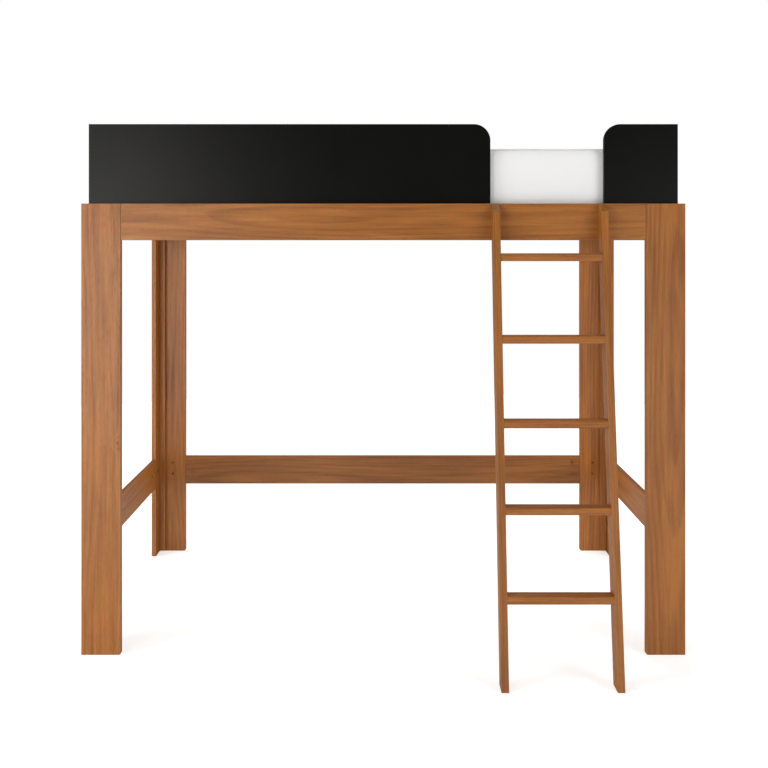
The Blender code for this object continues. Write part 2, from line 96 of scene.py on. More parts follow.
# How often the marks of a board repeat in a metre along it, across it and through it
KNOT_CELLS = (1.9, 8.0, 0)
DRIFT = (0.8, 2.5, 2.5)
BROAD_STREAKS = (1.8, 11, 11)
STREAKS = (2.2, 42, 42)
LINES = (5.5, 120, 120)
FIBRES = (14, 620, 620)
PORES = (46, 1300, 1300)
CAST_PATCHES = (20, 56, 56)
GLOSS_PATCHES = (5, 40, 40)

# How often the marks of the lacquer, the plating and the knit repeat in a metre
PEEL = (260, 260, 260)
DUST = (3.1, 3.1, 2.3)
SPECKS = (900, 900, 900)
DULL_PATCHES = (420, 420, 420)
SCUFFS = (2600, 2600, 300)
SLUBS = (220, 220, 220)
CLOUDS = (7, 7, 7)

# Smooth steps: where the start or the end of each mark sets in, and where it is complete
LATE_WOOD_START = (0.3, 0.86)
LATE_WOOD_END = (0.9, 1.0)
PORE_START = (0.62, 0.72)
CAST_START = (0.34, 0.66)
END_GRAIN_START = (0.75, 0.95)
SPECK_START = (0.74, 0.8)
RUBBED_LACQUER_END = (0.0004, 0.0028)
STITCH_START = (0.1, 0.2)
STITCH_END = (0.8, 0.9)
THREAD_START = (-0.00085, -0.00075)
THREAD_END = (-0.0006, -0.0005)

# A board's log: how far its pith may lie from the board's middle and wander, how far its pattern
# may be shifted, what turns a knot's cell into metres, a little drawn out along the grain, how deep
# the plain wood takes the stain, and how far in its edges are fully painted lighter, as wear and
# painted highlight
PITH_ACROSS = (0.01, 0.06)
PITH_THROUGH = (0.06, 0.14)
PITH_WANDER = 0.06
PATTERN_SHIFT = 40
KNOT_METRES = (0.4, 1 / 8, 0)
BASE_DEPTH = 0.34
EDGE_WEAR_AND_HIGHLIGHT_FULL = 0.0006

# Colours and reliefs of the finishes, beside those in the settings
# What a stained board's edges are painted towards: rubbed wear and a painted highlight on the arris.
EDGE_WEAR_AND_HIGHLIGHT = (0.30, 0.135, 0.05)
SPECK_GREY = (0.05, 0.05, 0.047)
RUBBED_BLACK = (0.010, 0.0095, 0.0085)
NUT_BROWN = (0.12, 0.05, 0.02)
CLOUD_WHITE = (0.86, 0.86, 0.87)
PEEL_RELIEF = 0.00006
METAL_RELIEF = 0.00004
KNIT_RELIEF = 0.00035

# A screw's head in shares of its radius, and how far in a row of screws begins
HEAD_RISE = 0.22
HEAD_SKIRT = 0.2
RECESS_DEPTH = 0.18
RECESS_LENGTH = 1.1
RECESS_WIDTH = 0.28
GUARD_INSET = 0.04
CLEAT_INSET = 0.06

# How far back from a connector's outer end its barrel nut begins and is full
NUT_START = (0.014, 0.011)

# How near to a stile's lowest height its foot's points are
FOOT_HEIGHT = 0.0001

# The cover: its roundings, its top, its seams, its side band, and how its sides differ from the
# plain solid's
TOP_ROUNDING = 0.006
BASE_ROUNDING = 0.012
CORNER_RADIUS = 0.035
CROWN = 0.0052
TOP_WAVE_HEIGHT = 0.0007
TOP_WAVE_LENGTH = 0.24
SEAM_DROP = 0.0102
SEAM_DIP = 0.0016
SEAM_WIDTH = 0.003
SEAM_EDGE = 0.02
SEAM_STEPS = (0.35, 0.7, 0.88, 1.0)
BAND_DRAW = 0.001
BAND_WAVE_HEIGHT = 0.0008
BAND_WAVE_LENGTH = 0.15
TOP_TURN_ROWS = 6
STRAIGHT_ROWS = 9
BASE_TURN_ROWS = 6
END_EASE = 0.0015
SIDE_FULLNESS = 0.004
WAVES = 7
WAVE_SPREAD = (0.6, 1.8)
LEAST_MOVE = 1e-9

# Each softbox: its name, its setting, its place, what it faces, its size and tint, and whether the
# varnish mirrors it
WHITE = (1, 1, 1)
WARM_WHITE = (1, 0.985, 0.96)
SOFTBOXES = (
    ("key_light", "key", (-2.3, -3.9, 0.9), (0, 0, 0.9), (1.5, 2.6), WARM_WHITE, True),
    ("side_light", "side", (2.7, -4.2, 0.8), (0, 0, 0.8), (1.5, 1.9), WHITE, True),
    ("fill_left", "fill_left", (-6.0, -3.2, 2.8), (0, 0, 0.9), (2.6, 3.0), WHITE, False),
    ("fill_right", "fill_right", (4.9, -4.3, 2.8), (0, 0, 0.9), (2.6, 3.0), WHITE, False),
    ("top_light", "top", (0, 2.2, 4.6), (0, 0, 1.6), (3.0, 2.0), WHITE, False),
    ("back_light", "back", (0, 5.5, 1.5), (0, 0, 0.9), (5.0, 2.4), WHITE, False),
)

# The camera's sensor in millimetres, how far back and up a look must go to meet the wall and the
# ceiling in the varnish, and the floor
SENSOR_WIDTH = 36
WALL_START = (-0.1, 0.25)
CEILING_START = (0.35, 0.85)
FLOOR_RADIUS = 4.5
FLOOR_SIDES = 96
FLOOR_GREY = (0.82, 0.82, 0.82)


class Wire:
    """An output of a node. Sums written with it add Math nodes."""

    def __init__(self, finish, socket):
        self.finish = finish
        self.socket = socket

    def other(self, output):
        """Another output of the same node."""
        return Wire(self.finish, self.socket.node.outputs[output])

    def __add__(self, other):
        return self.finish.math("ADD", self, other)

    def __radd__(self, other):
        return self.finish.math("ADD", other, self)

    def __sub__(self, other):
        return self.finish.math("SUBTRACT", self, other)

    def __rsub__(self, other):
        return self.finish.math("SUBTRACT", other, self)

    def __mul__(self, other):
        return self.finish.math("MULTIPLY", self, other)

    def __rmul__(self, other):
        return self.finish.math("MULTIPLY", other, self)

    def __truediv__(self, other):
        return self.finish.math("DIVIDE", self, other)


class Finish:
    """A material or a world in the making: one method adds any node, others name common ones."""

    def __init__(self, owner):
        self.owner = owner
        owner.use_nodes = True
        self.tree = owner.node_tree
        self.tree.nodes.clear()

    def add(self, kind, settings=None, sockets=None, output=0):
        """Add a node, make its settings, then set or link its sockets, and return one output."""
        node = self.tree.nodes.new(kind)
        for name, setting in (settings or {}).items():
            setattr(node, name, setting)
        for key, given in (sockets or {}).items():
            if isinstance(given, Wire):
                self.tree.links.new(given.socket, node.inputs[key])
            else:
                node.inputs[key].default_value = given
        return Wire(self, node.outputs[output]) if node.outputs else node

    def math(self, operation, *terms):
        """Add a Math node."""
        return self.add("ShaderNodeMath", {"operation": operation}, dict(enumerate(terms)))

    def vector(self, operation, *terms, output=0):
        """Add a Vector Math node. Its output 1 is the number of a length or a dot product."""
        settings = {"operation": operation}
        return self.add("ShaderNodeVectorMath", settings, dict(enumerate(terms)), output)

    def step(self, value, start, end):
        """Rise smoothly from 0 to 1 as the value goes from start to end."""
        return self.add(
            "ShaderNodeMapRange", {"interpolation_type": "SMOOTHSTEP"}, {0: value, 1: start, 2: end})

    def mix(self, share, first, second, blend="MIX"):
        """Blend two colours by a share."""
        settings = {"data_type": "RGBA", "blend_type": blend}
        return self.add("ShaderNodeMix", settings, {0: share, 6: first, 7: second}, 2)

    def stretch(self, vector, scale, shift=(0, 0, 0)):
        """Scale a vector and then shift it."""
        return self.vector("MULTIPLY_ADD", vector, scale, shift)

    def parts(self, vector):
        """The three parts of a vector."""
        first = self.add("ShaderNodeSeparateXYZ", {}, {0: vector})
        return [first, first.other(1), first.other(2)]

    def place(self):
        """The surface point in Object coordinates."""
        return self.add("ShaderNodeTexCoord", {}, {}, 3)

    def noise(self, vector, detail=2.0, roughness=0.5, output=0):
        """Cloudy noise from 0 to 1. Its output 1 is three such values as one vector."""
        sockets = {"Vector": vector, "Scale": 1.0, "Detail": detail, "Roughness": roughness}
        return self.add("ShaderNodeTexNoise", {}, sockets, output)

    def finish_with(self, sockets):
        """Close the material with one Principled shader."""
        shader = self.add("ShaderNodeBsdfPrincipled", {}, sockets)
        self.add("ShaderNodeOutputMaterial", {}, {"Surface": shader})
        return self.owner

    def bump(self, height, distance, strength=1.0):
        """Make a height a normal."""
        return self.add(
            "ShaderNodeBump", {}, {"Height": height, "Distance": distance, "Strength": strength})


def colour(values, factor=1.0):
    """A colour with full alpha, lightened or darkened by a factor."""
    return (values[0] * factor, values[1] * factor, values[2] * factor, 1.0)


def turn_of(grain, across):
    """The turn that lays a board's own x along its grain and its y across its wide face."""
    grain = Vector(grain).normalized()
    across = Vector(across).normalized()
    depth = grain.cross(across)
    return Matrix((grain, across, depth)).transposed().to_euler()


def edge_distance(finish, local, half):
    """How far a surface point lies from the nearest edge of its board.

    Of the three distances in from the faces one is nought, and the next one up is the answer.
    """
    inward = [size - finish.math("ABSOLUTE", part) for part, size in zip(finish.parts(local), half)]
    least = finish.math("MINIMUM", inward[0], inward[1])
    most = finish.math("MAXIMUM", inward[0], inward[1])
    return finish.math("MAXIMUM", least, finish.math("MINIMUM", most, inward[2]))


def knots(finish, local, shift, look):
    """Rare round knots, one at most in each wide cell, and how far the rings bulge round them.

    A knot is full within about half its radius and fades out at its radius. The bulge falls from
    the knot's middle to nought at five radii.
    """
    cells = finish.stretch(local, KNOT_CELLS, shift)
    middle = finish.add(
        "ShaderNodeTexVoronoi", {"voronoi_dimensions": "2D"}, {"Vector": cells, "Scale": 1.0}, 2)
    offset = finish.vector("MULTIPLY", finish.vector("SUBTRACT", cells, middle), KNOT_METRES)
    distance = finish.vector("LENGTH", offset, output=1)
    rare = finish.add("ShaderNodeTexWhiteNoise", {"noise_dimensions": "2D"}, {"Vector": middle})
    present = finish.step(rare, 1 - look["knot_share"], 1.001 - look["knot_share"])
    radius = look["knot_radius"]
    knot = (1 - finish.step(distance, radius * 0.55, radius)) * present
    bulge = (1 - finish.step(distance, 0.0, radius * 5)) * present
    return knot, bulge


def late_wood(finish, local, shift, pith, spacing, bulge, streak):
    """How far a point lies in the hard late wood of its ring, from 0 to 1.

    The rings are even shells about a pith that runs beside the board and wanders a little. A
    point's place in its ring is the fraction left of its distance from the pith over the spacing,
    to which the bulge round a knot and the streaks are added.
    """
    _, side, deep = finish.parts(local)
    drift = finish.noise(finish.stretch(local, DRIFT, shift), 1.0, 0.5, 1)
    drift_side, drift_deep, _ = finish.parts(drift)
    reach_side = side - pith[0] + (drift_side - 0.5) * PITH_WANDER
    reach_deep = deep - pith[1] + (drift_deep - 0.5) * PITH_WANDER
    radius = finish.math("SQRT", reach_side * reach_side + reach_deep * reach_deep)
    phase = finish.math("FRACT", radius / spacing + bulge * 1.6 + streak * 0.5)
    return finish.step(phase, *LATE_WOOD_START) * (1 - finish.step(phase, *LATE_WOOD_END))


def wood(name, centre, half, grain, across, look, seed, tone=1.0):
    """Wood as sawn from a log, read in the board's own frame with x along its grain.

    Rings, fine fibres, pores and broad streaks run with the grain. The ends drink more stain, and
    the edges are painted a little lighter: part rubbed wear, part a painted highlight on the arris.
    """
    pick = np.random.default_rng(seed)
    shift = Vector(pick.uniform(-PATTERN_SHIFT, PATTERN_SHIFT, 3))
    pith = (
        pick.uniform(*PITH_ACROSS) * pick.choice((-1, 1)),
        pick.uniform(*PITH_THROUGH) * pick.choice((-1, 1)))
    finish = Finish(bpy.data.materials.new(name))
    local = finish.add(
        "ShaderNodeMapping", {"vector_type": "TEXTURE"},
        {"Vector": finish.place(), "Location": centre, "Rotation": turn_of(grain, across)})

    def marks(scale, detail=2.0, roughness=0.5):
        """Noise of this scale, shifted by the board's own shift."""
        return finish.noise(finish.stretch(local, scale, shift), detail, roughness)

    knot, bulge = knots(finish, local, shift, look)
    streak = marks(STREAKS, 3.0, 0.55)
    late = late_wood(finish, local, shift, pith, look["ring_spacing"], bulge, streak)
    fibre = marks(FIBRES, 2.0, 0.6)
    pores = finish.step(marks(PORES, 1.0), *PORE_START)

    depth = late * look["ring_depth"] + (streak - 0.5) * look["streak_depth"] + BASE_DEPTH
    depth = depth + (marks(LINES) - 0.5) * look["line_depth"]
    depth = depth + (marks(BROAD_STREAKS) - 0.5) * look["broad_depth"]
    depth = depth + (fibre - 0.5) * look["fibre_depth"]
    depth = finish.math("MINIMUM", finish.math("MAXIMUM", depth, 0.0), 1.0)
    # The board's tone scales its stain, and with it the painted light or shade of that board.
    shade = finish.mix(depth, colour(look["light"], tone), colour(look["deep"], tone))
    patch = finish.step(marks(CAST_PATCHES), *CAST_START)
    cast = finish.mix(patch, colour(look["golden"]), colour(look["warm"]))
    shade = finish.mix(1.0, shade, cast, "MULTIPLY")
    shade = finish.mix(pores * look["pore_depth"], shade, colour(look["deep"], tone * 0.45))
    shade = finish.mix(knot * look["knot_depth"], shade, colour(look["knot"], tone))

    # Painted highlight and wear: the edges are painted lighter, as rubbed wear and as light catching
    # the arris.
    rubbed = 1 - finish.step(edge_distance(finish, local, half), EDGE_WEAR_AND_HIGHLIGHT_FULL, look["edge_width"])
    shade = finish.mix(rubbed * look["edge_share"], shade, colour(look["edge"], tone))
    facing = finish.add("ShaderNodeNewGeometry", {}, {}, 3)
    end_on = finish.math("ABSOLUTE", finish.vector("DOT_PRODUCT", facing, grain, output=1))
    end_grain = finish.step(end_on, *END_GRAIN_START)
    shade = finish.mix(end_grain * look["end_share"], shade, colour(look["deep"], tone * 0.8))

    gloss = marks(GLOSS_PATCHES)
    roughness = look["roughness"] + (gloss - 0.5) * 0.12 + (fibre - 0.5) * 0.10 + end_grain * 0.2
    height = fibre * 0.5 - late * 0.25 - pores * 0.9 - knot * 0.4
    return finish.finish_with({
        "Base Color": shade,
        "Roughness": roughness,
        "Specular IOR Level": look["sheen"],
        "Normal": finish.bump(height, look["relief"]),
    })


def box_centre(name):
    """The middle of a node's box."""
    low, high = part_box(name)
    return (low + high) / 2


def half_sizes(name, order):
    """Half of a node's box sizes, in the order of the axes given."""
    low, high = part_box(name)
    return [(high[axis] - low[axis]) / 2 for axis in order]


def dress(name, material):
    """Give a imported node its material."""
    node = NODES[name]
    node.data.materials.clear()
    node.data.materials.append(material)


def cross_axes(name, grain_axis):
    """A board's two axes across its grain, the wider one first."""
    low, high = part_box(name)
    cross = [axis for axis in range(3) if axis != grain_axis]
    return sorted(cross, key=lambda axis: low[axis] - high[axis])


def axis_vector(axis):
    """The unit vector along an axis."""
    return Vector([1.0 if index == axis else 0.0 for index in range(3)])


def dress_boards(names, grain_axis, look, first_seed):
    """Dress straight boards whose grain runs along an axis, each from a seed of its own."""
    for seed, name in enumerate(names, first_seed):
        wide, thin = cross_axes(name, grain_axis)
        half = half_sizes(name, (grain_axis, wide, thin))
        material = wood(
            name + "_wood", box_centre(name), half, axis_vector(grain_axis), axis_vector(wide),
            look, seed, BOARD_STAIN_AND_LIGHT_TONES.get(name, 1.0))
        dress(name, material)


class StainSettings(bpy.types.PropertyGroup):
    light: FloatVectorProperty(
        name="Light tone", description="Stain on the soft wood between rings",
        subtype="COLOR", size=3, default=(0.415, 0.144, 0.019), min=0, max=1)
    deep: FloatVectorProperty(
        name="Deep tone", description="Stain on the hard late wood of the rings",
        subtype="COLOR", size=3, default=(0.216, 0.063, 0.003), min=0, max=1)
    warm: FloatVectorProperty(
        name="Warm cast", description="What reddish patches multiply the stain by",
        size=3, default=(1.03, 0.965, 0.98), min=0, max=2)
    golden: FloatVectorProperty(
        name="Golden cast", description="What golden patches multiply the stain by",
        size=3, default=(0.97, 1.025, 0.88), min=0, max=2)
    ring_spacing: FloatProperty(
        name="Ring spacing", description="Distance between two growth rings",
        unit="LENGTH", default=0.0085, min=0.001)
    roughness: FloatProperty(
        name="Roughness", description="Roughness of the satin varnish",
        subtype="FACTOR", default=0.43, min=0, max=1)


class LacquerSettings(bpy.types.PropertyGroup):
    tint: FloatVectorProperty(
        name="Colour", description="Black of the guard panels",
        subtype="COLOR", size=3, default=(0.0032, 0.0032, 0.0027), min=0, max=1)
    roughness: FloatProperty(
        name="Roughness", description="Roughness of the satin lacquer",
        subtype="FACTOR", default=0.36, min=0, max=1)


class PineSettings(bpy.types.PropertyGroup):
    light: FloatVectorProperty(
        name="Light tone", description="Early wood of the deck's pine",
        subtype="COLOR", size=3, default=(0.70, 0.50, 0.28), min=0, max=1)
    deep: FloatVectorProperty(
        name="Deep tone", description="Late wood of the deck's pine",
        subtype="COLOR", size=3, default=(0.52, 0.29, 0.11), min=0, max=1)


class CoverSettings(bpy.types.PropertyGroup):
    tint: FloatVectorProperty(
        name="Colour", description="White of the mattress cover",
        subtype="COLOR", size=3, default=(0.905, 0.905, 0.898), min=0, max=1)
    cell: FloatProperty(
        name="Cell size", description="Size of the mesh cells of the cover",
        unit="LENGTH", default=0.016, min=0.004)
    knit_pitch: FloatProperty(
        name="Knit pitch", description="Width of a column of knitted stitches",
        unit="LENGTH", default=0.0022, min=0.0005)
    stitch_pitch: FloatProperty(
        name="Stitch pitch", description="Distance between two stitches of the edge seam",
        unit="LENGTH", default=0.0062, min=0.002)
    swell: FloatProperty(
        name="Swell", description="The most that the stuffing may push the cover out",
        unit="LENGTH", default=0.004, min=0.0)
    frames: IntProperty(
        name="Frames", description="How long the stuffing swells the cover", default=16, min=2)


class FittingSettings(bpy.types.PropertyGroup):
    tint: FloatVectorProperty(
        name="Zinc", description="Zinc plating of the screws and the ladder's bolts",
        subtype="COLOR", size=3, default=(0.62, 0.61, 0.58), min=0, max=1)
    bronze: FloatVectorProperty(
        name="Bronze", description="Bronzed finish of the cams and the barrel nuts",
        subtype="COLOR", size=3, default=(0.40, 0.20, 0.07), min=0, max=1)
    head_radius: FloatProperty(
        name="Screw head radius", description="Radius of a screw's head",
        unit="LENGTH", default=0.004, min=0.001)
    spacing: FloatProperty(
        name="Screw spacing", description="Widest distance between two screws of a row",
        unit="LENGTH", default=0.3, min=0.05)


class StudioSettings(bpy.types.PropertyGroup):
    camera_side: FloatProperty(
        name="Camera side", description="Camera's place along the bed", unit="LENGTH",
        default=-0.0076)
    camera_distance: FloatProperty(
        name="Camera distance", description="From the camera to the front of the posts",
        unit="LENGTH", default=2.875, min=0.5)
    camera_height: FloatProperty(
        name="Camera height", description="Camera's height over the floor", unit="LENGTH",
        default=1.3656, min=0)
    lens: FloatProperty(
        name="Lens", description="Focal length on a 36 mm sensor, in millimetres",
        default=41.26, min=10)
    shift_x: FloatProperty(name="Shift X", description="Sideways shift of the frame", default=0.0039)
    shift_y: FloatProperty(name="Shift Y", description="Upward shift of the frame", default=-0.1914)
    key: FloatProperty(
        name="Key light", description="Radiance of the soft light at front left", default=4.7, min=0)
    side: FloatProperty(
        name="Side light", description="Radiance of the soft light at front right", default=1.8, min=0)
    fill_left: FloatProperty(
        name="Left fill", description="Radiance of the matt light from the left", default=7.8, min=0)
    fill_right: FloatProperty(
        name="Right fill", description="Radiance of the matt light from the right", default=5.5, min=0)
    top: FloatProperty(
        name="Top light", description="Radiance of the matt light high behind", default=4.6, min=0)
    back: FloatProperty(
        name="Back light", description="Radiance of the wide light behind", default=1.5, min=0)
    room: FloatProperty(
        name="Room light", description="Radiance of the room all round", default=0.25, min=0)
    floor_lift: FloatProperty(
        name="Floor lift", description="What the camera sees added to the floor", default=0.6, min=0)
    floor_glow: FloatProperty(
        name="Floor glow", description="Soft light that the floor gives the bed", default=0.3, min=0)
    backdrop: FloatProperty(
        name="Backdrop", description="How bright the wall behind looks in the varnish",
        default=0.25, min=0)
    ceiling: FloatProperty(
        name="Ceiling", description="How bright the ceiling looks in the varnish",
        default=0.5, min=0)
    dark_front: FloatProperty(
        name="Dark front", description="How bright the unlit front of the room looks in the varnish",
        default=0.0, min=0)


class LoftBedSettings(bpy.types.PropertyGroup):
    stain: PointerProperty(type=StainSettings)
    lacquer: PointerProperty(type=LacquerSettings)
    pine: PointerProperty(type=PineSettings)
    cover: PointerProperty(type=CoverSettings)
    fittings: PointerProperty(type=FittingSettings)
    studio: PointerProperty(type=StudioSettings)


def stain_look(settings):
    """What wood() reads for the stained boards of the frame and the ladder."""
    return {
        "light": Vector(settings.light),
        "deep": Vector(settings.deep),
        "warm": Vector(settings.warm),
        "golden": Vector(settings.golden),
        "knot": Vector(settings.deep) * 0.45,
        "edge": Vector(EDGE_WEAR_AND_HIGHLIGHT),
        "ring_spacing": settings.ring_spacing,
        "ring_depth": 0.30,
        "streak_depth": 1.3,
        "line_depth": 1.0,
        "broad_depth": 0.9,
        "fibre_depth": 0.7,
        "pore_depth": 0.5,
        "knot_share": 0.16,
        "knot_radius": 0.0055,
        "knot_depth": 0.55,
        "edge_width": 0.0028,
        "edge_share": 0.55,
        "end_share": 0.75,
        "roughness": settings.roughness,
        "sheen": 0.70,
        "relief": 0.00018,
    }


def pine_look(settings):
    """What wood() reads for the bare pine of the deck."""
    light = Vector(settings.light)
    return {
        "light": light,
        "deep": Vector(settings.deep),
        "warm": Vector((1.02, 0.97, 1.0)),
        "golden": Vector((0.98, 1.02, 0.95)),
        "knot": Vector((0.20, 0.085, 0.03)),
        # The deck's edges are painted a little lighter too: wear and a painted highlight on the arris.
        "edge": light * 1.05,
        "ring_spacing": 0.0075,
        "ring_depth": 0.62,
        "streak_depth": 0.5,
        "line_depth": 0.3,
        "broad_depth": 0.35,
        "fibre_depth": 0.3,
        "pore_depth": 0.15,
        "knot_share": 0.4,
        "knot_radius": 0.0085,
        "knot_depth": 0.9,
        "edge_width": 0.0025,
        "edge_share": 0.2,
        "end_share": 0.5,
        "roughness": 0.62,
        "sheen": 0.4,
        "relief": 0.00025,
    }


def stile_block(name, climb):
    """The middle and the half sizes of the straight board that a leaning stile is cut from.

    The middle of the flat foot, carried up the climb to half the stile's height, is the board's.
    """
    low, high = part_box(name)
    upward = climb.normalized().z
    foot = [spot.co.y for spot in NODES[name].data.vertices if spot.co.z < low.z + FOOT_HEIGHT]
    middle = (low.z + high.z) / 2
    centre = Vector((
        (low.x + high.x) / 2,
        (min(foot) + max(foot)) / 2 + (middle - low.z) * climb.y / climb.z,
        middle))
    half = (middle / upward, (max(foot) - min(foot)) / 2 * upward, (high.x - low.x) / 2)
    return centre, half


class BED_OT_stain_boards(bpy.types.Operator):
    """Stain the posts, battens, rails and the ladder, each along its own grain"""

    bl_idname = "bed.stain_boards"
    bl_label = "Stain the boards"

    def execute(self, context):
        look = stain_look(context.scene.loft_bed.stain)
        dress_boards(STAINED_ALONG_Z, Z_AXIS, look, first_seed=100)
        dress_boards(STAINED_ALONG_X, X_AXIS, look, first_seed=200)
        dress_boards(STAINED_ALONG_Y, Y_AXIS, look, first_seed=300)
        climb = box_centre(RUNGS[-1]) - box_centre(RUNGS[0])
        climb.x = 0
        grain = climb.normalized()
        across = grain.cross(axis_vector(X_AXIS))
        cut = dict(look, end_share=0.1)
        for seed, name in enumerate(STILES, 400):
            centre, half = stile_block(name, climb)
            tone = BOARD_STAIN_AND_LIGHT_TONES.get(name, 1.0)
            dress(name, wood(name + "_wood", centre, half, grain, across, cut, seed, tone))
        return {"FINISHED"}


def lacquer(name, settings, centre, half):
    """Satin black lacquer: a faint orange peel, soft dust, and edges rubbed a little duller."""
    finish = Finish(bpy.data.materials.new(name))
    local = finish.add(
        "ShaderNodeMapping", {"vector_type": "TEXTURE"},
        {"Vector": finish.place(), "Location": centre})
    peel = finish.noise(finish.stretch(local, PEEL))
    dust = finish.noise(finish.stretch(local, DUST, shift=(4, 1, 7)), 4.0, 0.6)
    specks = finish.step(finish.noise(finish.stretch(local, SPECKS), 0.0), *SPECK_START)
    rubbed = 1 - finish.step(edge_distance(finish, local, half), *RUBBED_LACQUER_END)
    tint = Vector(settings.tint)
    shade = finish.mix(dust * 0.5, colour(tint, 0.8), colour(tint, 1.5))
    shade = finish.mix(specks * 0.25, shade, colour(SPECK_GREY))
    shade = finish.mix(rubbed * 0.3, shade, colour(RUBBED_BLACK))
    roughness = settings.roughness + (dust - 0.5) * 0.10 + rubbed * 0.12 + (peel - 0.5) * 0.04
    return finish.finish_with({
        "Base Color": shade,
        "Roughness": roughness,
        "Specular IOR Level": 0.25,
        "Normal": finish.bump(peel, PEEL_RELIEF),
    })


class BED_OT_lacquer_guards(bpy.types.Operator):
    """Lacquer the five guard panels black"""

    bl_idname = "bed.lacquer_guards"
    bl_label = "Lacquer the guards"

    def execute(self, context):
        for name in GUARDS:
            half = half_sizes(name, range(3))
            dress(name, lacquer(
                name + "_lacquer", context.scene.loft_bed.lacquer, box_centre(name), half))
        return {"FINISHED"}


class BED_OT_plane_deck(bpy.types.Operator):
    """Give the cleats and the slats bare planed pine"""

    bl_idname = "bed.plane_deck"
    bl_label = "Plane the deck"

    def execute(self, context):
        look = pine_look(context.scene.loft_bed.pine)
        dress_boards(CLEATS, X_AXIS, look, first_seed=500)
        dress_boards(SLATS, Y_AXIS, look, first_seed=600)
        return {"FINISHED"}


def metal_patches(finish, tint):
    """The dull and bright patches of a plated metal, and the tint that they shade."""
    patch = finish.noise(finish.stretch(finish.place(), DULL_PATCHES), 3.0, 0.6)
    return patch, finish.mix(patch, colour(tint, 0.72), colour(tint, 1.15))


def plating(name, tint):
    """A thin metal plating: brushed a little, with dull and bright patches."""
    finish = Finish(bpy.data.materials.new(name))
    patch, shade = metal_patches(finish, tint)
    scuff = finish.noise(finish.stretch(finish.place(), SCUFFS))
    return finish.finish_with({
        "Base Color": shade,
        "Metallic": 1.0,
        "Roughness": 0.30 + patch * 0.18 + (scuff - 0.5) * 0.15,
        "Normal": finish.bump(scuff, METAL_RELIEF),
    })


def put_in_scene(name, data):
    """A new object in the scene, with this mesh, lamp or lens."""
    thing = bpy.data.objects.new(name, data)
    bpy.context.scene.collection.objects.link(thing)
    return thing


def mesh_thing(name, points, blocks, material):
    """A new mesh object from its points and its blocks of faces, each an array of like faces."""
    mesh = bpy.data.meshes.new(name)
    mesh.from_pydata(points.tolist(), [], [face for block in blocks for face in block.tolist()])
    mesh.update()
    mesh.materials.append(material)
    return put_in_scene(name, mesh)


def piece_from(name, points, blocks, material):
    """A smooth piece of the bed, with its material."""
    piece = mesh_thing(name, points, blocks, material)
    piece.data.shade_smooth()
    return piece


def cells_between(rows, after):
    """The four corners of each cell of a grid, from the grid and the same grid one column on."""
    cells = np.stack([rows[:-1], rows[1:], after[1:], after[:-1]], axis=-1)
    return cells.reshape(-1, 4)


def disc_faces(rings, sides):
    """Faces of a closed turned shape whose first and last points are poles: triangles, then quads."""
    ring = 1 + np.arange(rings * sides).reshape(rings, sides)
    after = np.roll(ring, -1, axis=1)
    cap = np.stack([np.zeros(sides, int), ring[0], after[0]], axis=-1)
    base = np.stack([np.full(sides, rings * sides + 1), after[-1], ring[-1]], axis=-1)
    return [np.concatenate([cap, base]), cells_between(ring, after)]


def cross_head(radius, rings=9, sides=32):
    """A low round head with a cross recess, about its own axis, as points and blocks of faces.

    The dome falls from its rise at the middle with the fourth power of the distance, to nought at
    the rim. The recess is taken off within either arm of the cross, whose sides slope a little. A
    skirt goes down round the rim, and a flat base closes it.
    """
    rise, recess, skirt = radius * HEAD_RISE, radius * RECESS_DEPTH, radius * HEAD_SKIRT
    half_length, half_width = radius * RECESS_LENGTH / 2, radius * RECESS_WIDTH / 2
    slope = half_width / 2
    reach = (np.arange(1, rings + 1) / rings) ** 0.9 * radius
    angle = np.arange(sides) * math.tau / sides
    r, a = np.meshgrid(reach, angle, indexing="ij")
    x, y = r * np.cos(a), r * np.sin(a)

    def inside(value, limit):
        """1 within the limit, falling to 0 over the slope."""
        return np.clip((limit + slope - np.abs(value)) / slope, 0, 1)

    arm_one = inside(x, half_length) * inside(y, half_width)
    arm_two = inside(y, half_length) * inside(x, half_width)
    z = rise * (1 - (r / radius) ** 4) - recess * np.maximum(arm_one, arm_two)
    top = np.stack([x, y, z], axis=-1).reshape(-1, 3)
    rim = np.stack([x[-1], y[-1], np.full(sides, -skirt)], axis=-1)
    points = np.concatenate([[[0, 0, rise - recess]], top, rim, [[0, 0, -skirt]]])
    return points, disc_faces(rings + 1, sides)


def place_heads(local, blocks, places):
    """Copy one head to many places: each place is a point, and the way out of the wood."""
    turns = np.array([Vector(outward).to_track_quat("Z", "Y").to_matrix() for _, outward in places])
    spots = np.array([spot for spot, _ in places])
    points = local @ turns.transpose(0, 2, 1) + spots[:, None]
    shifts = len(local) * np.arange(len(places))[:, None, None]
    copies = [(block + shifts).reshape(-1, block.shape[-1]) for block in blocks]
    return points.reshape(-1, 3), copies


def spread(start, end, widest):
    """Evenly spaced places from start to end, no further apart than the widest spacing."""
    count = max(2, math.ceil((end - start) / widest) + 1)
    return np.linspace(start, end, count)


def guard_screw_places(spacing):
    """Screws on the inner faces of the guards, through their lower laps into rails and posts."""
    front_low, front_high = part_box("cleat_front")
    rear_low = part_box("cleat_rear")[0]
    places = []
    for name in ("guard_front_left", "guard_front_right", "guard_rear"):
        low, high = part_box(name)
        inner, way = (high.y, 1) if "front" in name else (low.y, -1)
        height = (low.z + front_low.z) / 2
        row = spread(low.x + GUARD_INSET, high.x - GUARD_INSET, spacing)
        places += [((x, inner, height), (0, way, 0)) for x in row]
    for name in ("guard_left_end", "guard_right_end"):
        low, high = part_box(name)
        inner, way = (high.x, 1) if "left" in name else (low.x, -1)
        height = (low.z + front_high.z) / 2
        row = spread(front_high.y + GUARD_INSET, rear_low.y - GUARD_INSET, spacing)
        places += [((inner, y, height), (way, 0, 0)) for y in row]
    return places


